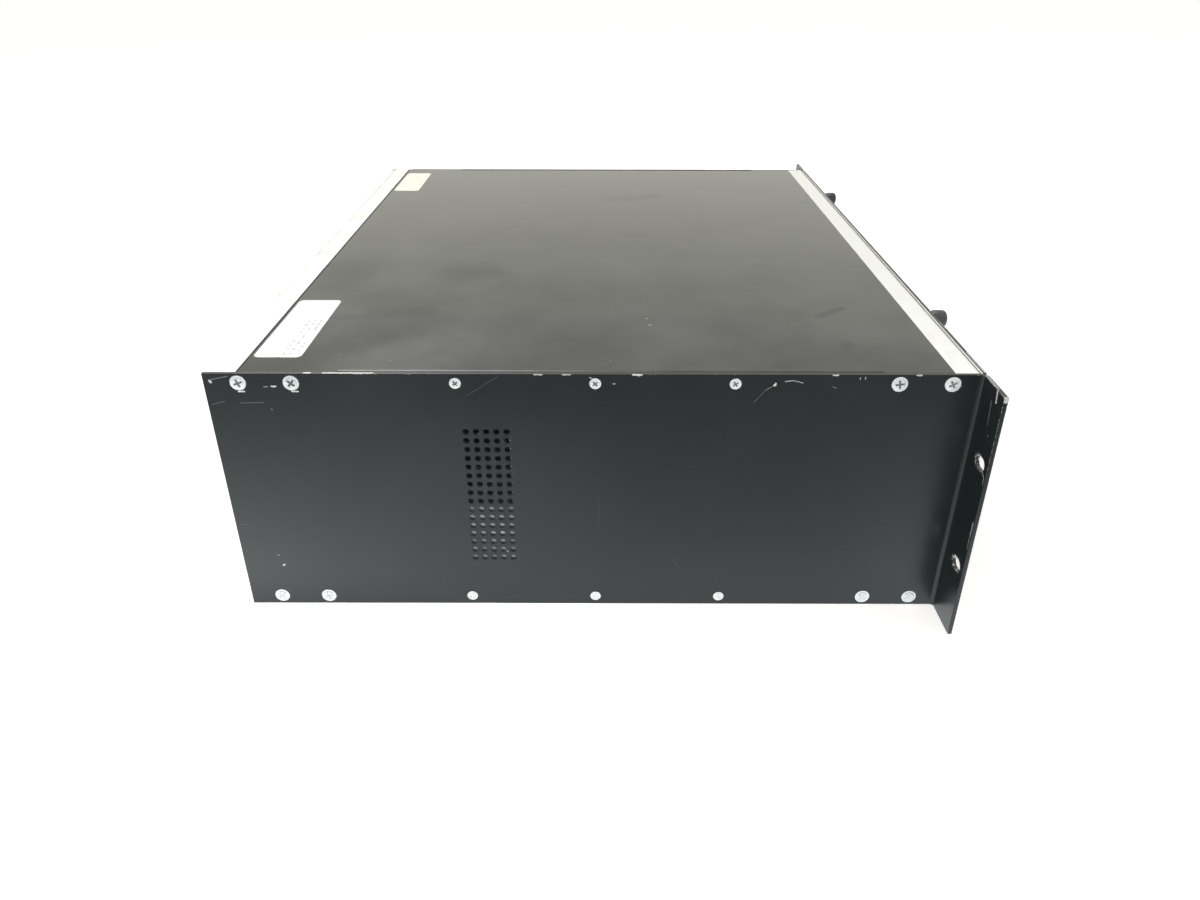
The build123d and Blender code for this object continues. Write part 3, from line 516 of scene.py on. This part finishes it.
rail_grime_and_painted_shade = [
    # The first two are painted shade: a black line on the rear lip where the cover's gap is, and a faint
    # one along the front edge by the door's gap. The rest are rub marks.
    ((-215.5, 165.1, 131.0), (215.5, 165.1, 131.0), 3.0, 1.0),
    ((-215.5, -177.3, top), (215.5, -177.3, top), 2.6, 0.2),
    ((-196.0, -171.0, top), (-190.0, -172.5, top), 6.0, 0.04),
    ((-172.0, -169.0, top), (-168.0, -168.5, top), 4.0, 0.05),
    ((-205.0, -168.5, top), (-203.0, -168.0, top), 3.0, 0.05),
]
anodised = metal(
    "satin anodised aluminium", "#F9F8F2", "#FFFFFA", 0.32, 0.5 * mm, across=(0.02, 1, 1), metallic=0.2,
    dirt_and_painted_light=rail_grime_and_painted_shade,
)
dress(anodised, "front_upper_rail", "front_lower_rail", "rear_upper_rail", "rear_lower_rail")
dress(anodised, "door_hooks", "lower_clamp_bar", "upper_clamp_bar")

# The screws: zinc plated steel with a cross recess. Those of the side plates are
# countersunk, the large ones into the rails and the small ones into the covers' flanges,
# and the head has a low boss round its recess.

boss_foot, boss_top = 0.76, 0.61
pan_fall = 0.6
recess_taper = 0.55
recess_above = 0.15


def recessed_screws(style):
    """A Geometry Nodes tree that sets a screw with a cross recess on every point."""
    tree = bpy.data.node_groups.new(style + " screws", "GeometryNodeTree")
    new_socket = tree.interface.new_socket
    new_socket(name="Geometry", in_out="INPUT", socket_type="NodeSocketGeometry")
    for label in (
        "Head diameter", "Head height", "Shank diameter", "Length", "Rim",
        "Boss height", "Recess span", "Recess width", "Recess depth",
    ):
        new_socket(name=label, in_out="INPUT", socket_type="NodeSocketFloat")
    new_socket(name="Facing", in_out="INPUT", socket_type="NodeSocketRotation")
    new_socket(name="Finish", in_out="INPUT", socket_type="NodeSocketMaterial")
    new_socket(name="Recess painted shade", in_out="INPUT", socket_type="NodeSocketMaterial")
    new_socket(name="Geometry", in_out="OUTPUT", socket_type="NodeSocketGeometry")
    given = add(tree, "NodeGroupInput").outputs

    def shaped(mesh, x, y, z):
        moved = add(tree, "ShaderNodeCombineXYZ", {0: x, 1: y, 2: z})
        return add(tree, "GeometryNodeSetPosition", {"Geometry": mesh, "Position": moved})

    point = add(tree, "ShaderNodeSeparateXYZ", {0: add(tree, "GeometryNodeInputPosition")}).outputs
    blank = add(
        tree, "GeometryNodeMeshCylinder",
        {"Vertices": 32, "Side Segments": 3, "Fill Segments": 8, "Radius": 1.0, "Depth": 2.0},
        fill_type="TRIANGLE_FAN",
    )
    in_head = add(tree, "ShaderNodeMath", {0: point["Z"], 1: 0.0}, operation="GREATER_THAN")
    on_top = add(tree, "ShaderNodeMath", {0: point["Z"], 1: 0.5}, operation="GREATER_THAN")
    at_tip = add(tree, "ShaderNodeMath", {0: point["Z"], 1: -0.5}, operation="LESS_THAN")
    across = add(
        tree, "GeometryNodeSwitch",
        {"Switch": in_head, "True": given["Head diameter"], "False": given["Shank diameter"]},
        input_type="FLOAT",
    )
    radius = add(tree, "ShaderNodeMath", {0: across, 1: 2.0}, operation="DIVIDE")
    out = add(tree, "ShaderNodeMath", {0: point["X"], 1: 2.0}, operation="POWER")
    out = add(tree, "ShaderNodeMath", {0: point["Y"], 1: point["Y"], 2: out}, operation="MULTIPLY_ADD")
    if style == "countersunk":
        out = add(tree, "ShaderNodeMath", {0: out}, operation="SQRT")
        crown = given["Boss height"]
        upper = add(
            tree, "ShaderNodeMapRange",
            {"Value": out, "From Min": boss_foot, "From Max": boss_top, "To Min": 0.0, "To Max": crown},
            interpolation_type="SMOOTHSTEP",
        )
        rim_height = add(tree, "ShaderNodeMath", {0: given["Rim"], 1: -1.0}, operation="MULTIPLY")
        neck = add(tree, "ShaderNodeMath", {0: given["Head height"], 1: -1.0}, operation="MULTIPLY")
    else:
        crown = given["Head height"]
        upper = add(tree, "ShaderNodeMath", {0: out, 1: -pan_fall, 2: 1.0}, operation="MULTIPLY_ADD")
        upper = add(tree, "ShaderNodeMath", {0: crown, 1: upper}, operation="MULTIPLY")
        rim_height = 0.0
        neck = 0.0
    tip = add(tree, "ShaderNodeMath", {0: given["Length"], 1: -1.0}, operation="MULTIPLY")
    height = neck
    for test, value in ((at_tip, tip), (in_head, rim_height), (on_top, upper)):
        height = add(
            tree, "GeometryNodeSwitch", {"Switch": test, "True": value, "False": height}, input_type="FLOAT"
        )
    x = add(tree, "ShaderNodeMath", {0: point["X"], 1: radius}, operation="MULTIPLY")
    y = add(tree, "ShaderNodeMath", {0: point["Y"], 1: radius}, operation="MULTIPLY")
    head = shaped(blank, x, y, height)

    cube = add(tree, "GeometryNodeMeshCube", {"Size": (1.0, 1.0, 1.0)})
    low = add(tree, "ShaderNodeMath", {0: 0.5, 1: point["Z"]}, operation="SUBTRACT")
    narrow = add(
        tree, "ShaderNodeMath", {0: low, 1: -recess_taper, 2: 2 * recess_taper}, operation="MULTIPLY_ADD"
    )
    long = add(tree, "ShaderNodeMath", {0: point["X"], 1: given["Recess span"]}, operation="MULTIPLY")
    wide = add(tree, "ShaderNodeMath", {0: point["Y"], 1: given["Recess width"]}, operation="MULTIPLY")
    deep = add(tree, "ShaderNodeMath", {0: recess_above, 1: low}, operation="SUBTRACT")
    deep = add(
        tree, "ShaderNodeMath", {0: deep, 1: given["Recess depth"], 2: crown}, operation="MULTIPLY_ADD"
    )
    x = add(tree, "ShaderNodeMath", {0: long, 1: narrow}, operation="MULTIPLY")
    y = add(tree, "ShaderNodeMath", {0: wide, 1: narrow}, operation="MULTIPLY")
    wing = shaped(cube, x, y, deep)
    other = add(tree, "GeometryNodeTransform", {"Geometry": wing, "Rotation": (0.0, 0.0, math.pi / 2)})
    cross = add(tree, "GeometryNodeJoinGeometry")
    tree.links.new(wing.outputs[0], cross.inputs[0])
    tree.links.new(other.outputs[0], cross.inputs[0])
    # The cross recess takes its own material, a darker zinc that is painted shade.
    dark = add(tree, "GeometryNodeSetMaterial", {"Geometry": cross, "Material": given["Recess painted shade"]})
    cut = add(tree, "GeometryNodeMeshBoolean", operation="DIFFERENCE", solver="EXACT")
    tree.links.new(head.outputs[0], cut.inputs["Mesh 1"])
    tree.links.new(dark.outputs[0], cut.inputs["Mesh 2"])
    cut.inputs["Self Intersection"].default_value = True
    turned = add(tree, "GeometryNodeInputNamedAttribute", {"Name": "turn"}, data_type="FLOAT")
    placed = add(
        tree, "GeometryNodeInstanceOnPoints",
        {"Points": given["Geometry"], "Instance": cut.outputs["Mesh"], "Rotation": given["Facing"]},
    )
    spin = add(tree, "ShaderNodeCombineXYZ", {2: turned.outputs["Attribute"]})
    spun = add(
        tree, "GeometryNodeRotateInstances", {"Instances": placed, "Rotation": spin, "Local Space": True}
    )
    real = add(tree, "GeometryNodeRealizeInstances", {"Geometry": spun})
    recess = add(tree, "GeometryNodeMaterialSelection", {"Material": given["Recess painted shade"]})
    plain = add(tree, "FunctionNodeBooleanMath", {0: recess}, operation="NOT")
    finished = add(
        tree, "GeometryNodeSetMaterial", {"Geometry": real, "Selection": plain, "Material": given["Finish"]}
    )
    add(tree, "NodeGroupOutput", {0: finished})
    return tree


def grown(name, tree, points, turns, values):
    """The plain mesh that a Geometry Nodes tree makes on a set of points, as one piece."""
    mesh = bpy.data.meshes.new(name + " points")
    mesh.from_pydata([Vector(p) * mm for p in points], [], [])
    turn = mesh.attributes.new("turn", "FLOAT", "POINT")
    for i, angle in enumerate(turns):
        turn.data[i].value = math.radians(angle)
    carrier = bpy.data.objects.new(name + " points", mesh)
    scene.collection.objects.link(carrier)
    modifier = carrier.modifiers.new("grow", "NODES")
    modifier.node_group = tree
    for item in tree.interface.items_tree:
        if item.in_out == "INPUT" and item.name in values:
            modifier[item.identifier] = values[item.name]
    graph = bpy.context.evaluated_depsgraph_get()
    result = bpy.data.meshes.new_from_object(carrier.evaluated_get(graph), depsgraph=graph)
    bpy.data.objects.remove(carrier)
    piece = bpy.data.objects.new(name, result)
    scene.collection.objects.link(piece)
    return piece


zinc = metal("zinc plated steel", "#D2D8D6", "#FBFEFD", 0.24, 0.35 * mm, metallic=0.55)
rows = (127.7, 4.8)
foot = rows[1]
# The recesses take a darker zinc as painted shade; in the lower row its colour is lifted almost to white as
# painted light, for the bright floor they mirror.
lower_row_painted_light = [((x, -170.0, foot), (x, 170.0, foot), 30.0, 0.9) for x in (-217.0, 217.0)]
recess_zinc_painted_shade_and_light = metal(
    "zinc plated steel, painted recess shade and light", "#55615F", "#8F9B99", 0.35, 0.35 * mm, metallic=0.3, dirt_and_painted_light=lower_row_painted_light,
    stain_and_painted_light="#F2F6F4",
)
countersunk = recessed_screws("countersunk")
rail_screw = {
    "Head diameter": 7.5 * mm, "Head height": 1.75 * mm, "Shank diameter": 4.0 * mm, "Length": 12.0 * mm,
    "Rim": 0.1 * mm, "Boss height": 0.32 * mm, "Recess span": 4.2 * mm, "Recess width": 1.0 * mm,
    "Recess depth": 1.3 * mm, "Finish": zinc, "Recess painted shade": recess_zinc_painted_shade_and_light,
}
cover_screw = {
    "Head diameter": 5.5 * mm, "Head height": 1.25 * mm, "Shank diameter": 3.0 * mm, "Length": 4.0 * mm,
    "Rim": 0.08 * mm, "Boss height": 0.2 * mm, "Recess span": 2.8 * mm, "Recess width": 0.75 * mm,
    "Recess depth": 0.9 * mm, "Finish": zinc, "Recess painted shade": recess_zinc_painted_shade_and_light,
}
to_left = (0.0, -math.pi / 2, 0.0)
to_right = (0.0, math.pi / 2, 0.0)
rail_ys = (164.6, 140.1, -140.6, -165.1)
cover_ys = (64.45, -0.25, -64.95)
sink = 0.1
for side, facing, turns_rail, turns_cover in (
    (-1, to_left, (20, 50, 8, 30, 40, 15, 50, 35), (35, 40, 35, 10, 60, 25)),
    (1, to_right, (75, 12, 33, 61, 5, 48, 22, 84), (14, 52, 71, 30, 66, 9)),
):
    x = side * (plate_x - sink)
    name = "left" if side < 0 else "right"
    for kind, ys, sizes, turns in (
        ("rail", rail_ys, rail_screw, turns_rail), ("cover", cover_ys, cover_screw, turns_cover)
    ):
        spots = [(x, y, z) for z in rows for y in ys]
        sizes = dict(sizes, Facing=facing)
        piece = grown(name + "_" + kind + "_screw_heads", countersunk, spots, turns, sizes)
        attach(piece, "root")
        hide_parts(name + "_" + kind + "_screws")

# Four more of the small screws come up through the bottom cover into the supply.

supply_screw = dict(cover_screw, Length=8.0 * mm, Facing=(math.pi, 0.0, 0.0))
low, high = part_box("supply_screws")
inset = cover_screw["Head diameter"] / 2
spots = [
    (x / mm, y / mm, sink)
    for x in (low.x + inset, high.x - inset)
    for y in (low.y + inset, high.y - inset)
]
piece = grown("supply_screw_heads", countersunk, spots, (10, 44, 71, 25), supply_screw)
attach(piece, "root")
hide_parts("supply_screws")

# The rear plates: clear anodised aluminium blanks, brushed along their height, one for
# each slot, and a wider panel over the supply, all under zinc plated pan head screws.

brushed = metal("brushed aluminium", "#C9C9C6", "#E9E9E6", 0.36, 0.3 * mm, across=(1, 1, 0.02))
dress(brushed, "rear_slot_plates", "rear_supply_panel")
pan_head = recessed_screws("pan head")
rear_screw = {
    "Head diameter": 5.6 * mm, "Head height": 2.0 * mm, "Shank diameter": 3.0 * mm, "Length": 8.0 * mm,
    "Recess span": 3.0 * mm, "Recess width": 0.8 * mm, "Recess depth": 1.4 * mm,
    "Facing": (-math.pi / 2, 0.0, 0.0), "Finish": zinc, "Recess painted shade": recess_zinc_painted_shade_and_light,
}
panel_face = 178.7
slot_pitch = 20.32
slot_xs = [-100.46 + slot_pitch * i for i in range(16)]
for xs, replaced in ((slot_xs, "rear_plate_screws"), ((-205.34, -120.78), "supply_panel_screws")):
    spots = [(x, panel_face, z) for z in rows for x in xs]
    turns = [(37 * i + 13 * len(xs)) % 90 for i in range(len(spots))]
    piece = grown(replaced.replace("screws", "screw_heads"), pan_head, spots, turns, rear_screw)
    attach(piece, "root")
    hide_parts(replaced)
dress(zinc, "divider_screws", "backplane_screws")

# The thumbscrews: smooth black moulded heads with a rounded front edge, on steel threads
# that a nylon washer keeps in the door.


def moulding(name, shade, pale, rough):
    """A moulded plastic with a fine spark-eroded grain."""
    material = blank_material(name)
    tree = material.node_tree
    place = add(tree, "ShaderNodeTexCoord").outputs["Object"]
    grain = add(tree, "ShaderNodeTexNoise", {"Vector": place, "Scale": 1 / (0.4 * mm), "Detail": 3.0})
    blotch = add(tree, "ShaderNodeTexNoise", {"Vector": place, "Scale": 1 / (9 * mm), "Detail": 4.0})
    colour = add(
        tree, "ShaderNodeMix", {"Factor": blotch, "A": linear(shade), "B": linear(pale)}, data_type="RGBA"
    )
    bump = add(tree, "ShaderNodeBump", {"Strength": 0.3, "Distance": 0.03 * mm, "Height": grain})
    shader = add(
        tree, "ShaderNodeBsdfPrincipled",
        {"Base Color": colour.outputs["Result"], "Roughness": rough, "Normal": bump},
    )
    add(tree, "ShaderNodeOutputMaterial", {"Surface": shader})
    return material


neck_radius, knob_radius = 3.95, 4.75
knob_edge = 2.4
edge_start = 6.6
edge_steps = 8
knob_profile = [
    (neck_radius, 0.0), (neck_radius, 1.2), (knob_radius, 1.8), (knob_radius, edge_start),
]
for step in range(1, edge_steps + 1):
    angle = math.pi / 2 * step / edge_steps
    radius = knob_radius - knob_edge * (1 - math.cos(angle))
    knob_profile.append((radius, edge_start + knob_edge * math.sin(angle)))
rings = len(knob_profile)
knob_sides = 48
knob_z = 127.7
door_face = -180.5
verts = []
faces = []
for knob_x in (-133.0, 133.0):
    first = len(verts)
    for i in range(knob_sides):
        turn = 2 * math.pi * i / knob_sides
        for r, out in knob_profile:
            across = knob_x + r * math.cos(turn)
            verts.append((across, door_face - out, knob_z + r * math.sin(turn)))
    for i in range(knob_sides):
        here = first + i * rings
        beyond = first + (i + 1) % knob_sides * rings
        for j in range(rings - 1):
            faces.append((here + j, beyond + j, beyond + j + 1, here + j + 1))
    faces.append([first + i * rings for i in reversed(range(knob_sides))])
    faces.append([first + i * rings + rings - 1 for i in range(knob_sides)])
mesh = bpy.data.meshes.new("thumbscrew_heads")
mesh.from_pydata([Vector(v) * mm for v in verts], [], faces)
mesh.materials.append(moulding("black moulded nylon", "#3D3E3F", "#545557", 0.42))
for polygon in mesh.polygons:
    polygon.use_smooth = len(polygon.vertices) == 4
piece = bpy.data.objects.new("thumbscrew_heads", mesh)
scene.collection.objects.link(piece)
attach(piece, "root")
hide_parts("thumbscrew_knobs")
dress(moulding("natural nylon", "#C4BFAE", "#DAD6C8", 0.45), "thumbscrew_retainers")
dress(zinc, "thumbscrew_shanks")

# The labels: white paper with rounded corners, stuck on the cover at the rear; the far one
# is tinted cream as painted warm light. Their print has faded to a few faint grey dashes.

row_pitch = 3.1 * mm
row_share = 0.4


def label_paper(name, colour, box, strength):
    """Label stock with rows of faint dashes inside a box (low x, low y, high x, high y) in mm."""
    material = blank_material(name)
    tree = material.node_tree
    place = add(tree, "ShaderNodeTexCoord").outputs["Object"]
    spot = add(tree, "ShaderNodeSeparateXYZ", {0: place}).outputs
    fibre = add(tree, "ShaderNodeTexNoise", {"Vector": place, "Scale": 1 / (0.3 * mm), "Detail": 3.0})
    drawn = add(tree, "ShaderNodeMapping", {"Vector": place, "Scale": (1.0, 0.6, 1.0)})
    dashes = add(tree, "ShaderNodeTexNoise", {"Vector": drawn, "Scale": 1 / (3 * mm)})
    printed = add(tree, "ShaderNodeMapRange", {"Value": dashes, "From Min": 0.48, "From Max": 0.56})
    row = add(tree, "ShaderNodeMath", {0: spot["Y"], 1: row_pitch}, operation="DIVIDE")
    row = add(tree, "ShaderNodeMath", {0: row}, operation="FRACT")
    tests = [(row, row_share, "LESS_THAN")]
    for axis, low, high in (("X", box[0], box[2]), ("Y", box[1], box[3])):
        tests += [(spot[axis], low * mm, "GREATER_THAN"), (spot[axis], high * mm, "LESS_THAN")]
    for value, limit, operation in tests:
        inside = add(tree, "ShaderNodeMath", {0: value, 1: limit}, operation=operation)
        printed = add(tree, "ShaderNodeMath", {0: printed, 1: inside}, operation="MULTIPLY")
    printed = add(tree, "ShaderNodeMath", {0: printed, 1: strength}, operation="MULTIPLY")
    ink = add(
        tree, "ShaderNodeMix", {"Factor": printed, "A": linear(colour), "B": linear("#8A8C90")},
        data_type="RGBA",
    )
    bump = add(tree, "ShaderNodeBump", {"Strength": 0.2, "Distance": 0.02 * mm, "Height": fibre})
    shader = add(
        tree, "ShaderNodeBsdfPrincipled",
        {"Base Color": ink.outputs["Result"], "Roughness": 0.6, "Normal": bump},
    )
    add(tree, "ShaderNodeOutputMaterial", {"Surface": shader})
    return material


dress(label_paper("white label paper", "#F8F8F6", (-196.0, 141.5, -150.0, 151.0), 0.5), "rating_label")
dress(label_paper("label paper, painted warm light", "#FBFCE9", (150.0, 146.0, 190.0, 156.0), 0.1), "asset_label")

# Inside: the bare sheet of the supply's tray, which shows through the vent, with the
# supply on it, and the board, connectors and guides that the cards plug into.

# The tray is darker towards the left plate: painted shade, a dark band 110 mm wide along its near side.
bare_sheet = metal(
    "bare zinc coated sheet", "#E2E1DC", "#FAF9F5", 0.4, 0.6 * mm, across=(1, 0.05, 1), metallic=0.1,
    dirt_and_painted_light=[((-205.0, -130.0, 2.8), (-205.0, 130.0, 2.8), 110.0, 0.5)],
)
dress(bare_sheet, "supply_tray", "supply_chassis", "supply_lid")
black_plastic = moulding("black glass-filled nylon", "#141416", "#26272A", 0.5)
dress(black_plastic, "inlet_socket", "fuse_holder", "fuse_cap", "lower_card_guides", "upper_card_guides")
sand_plastic = moulding("sand connector moulding", "#A79F88", "#B9B29C", 0.5)
dress(sand_plastic, "backplane_connectors", "supply_terminals")
dress(moulding("green solder resist", "#12502A", "#1B6A3A", 0.3), "backplane_board", "supply_board")
dress(metal("lacquered core steel", "#3A3A3C", "#55565A", 0.45, 0.5 * mm), "supply_transformer")
dress(metal("black anodised heatsink", "#17181A", "#26272A", 0.4, 0.5 * mm), "supply_heatsink")
dress(moulding("blue capacitor sleeve", "#14233F", "#1E3358", 0.3), "supply_capacitors")
brass = metal("brass", "#A8843F", "#D9B968", 0.3, 0.4 * mm)
dress(brass, "inlet_pins", "ground_stud", "ground_nuts", "supply_standoffs")
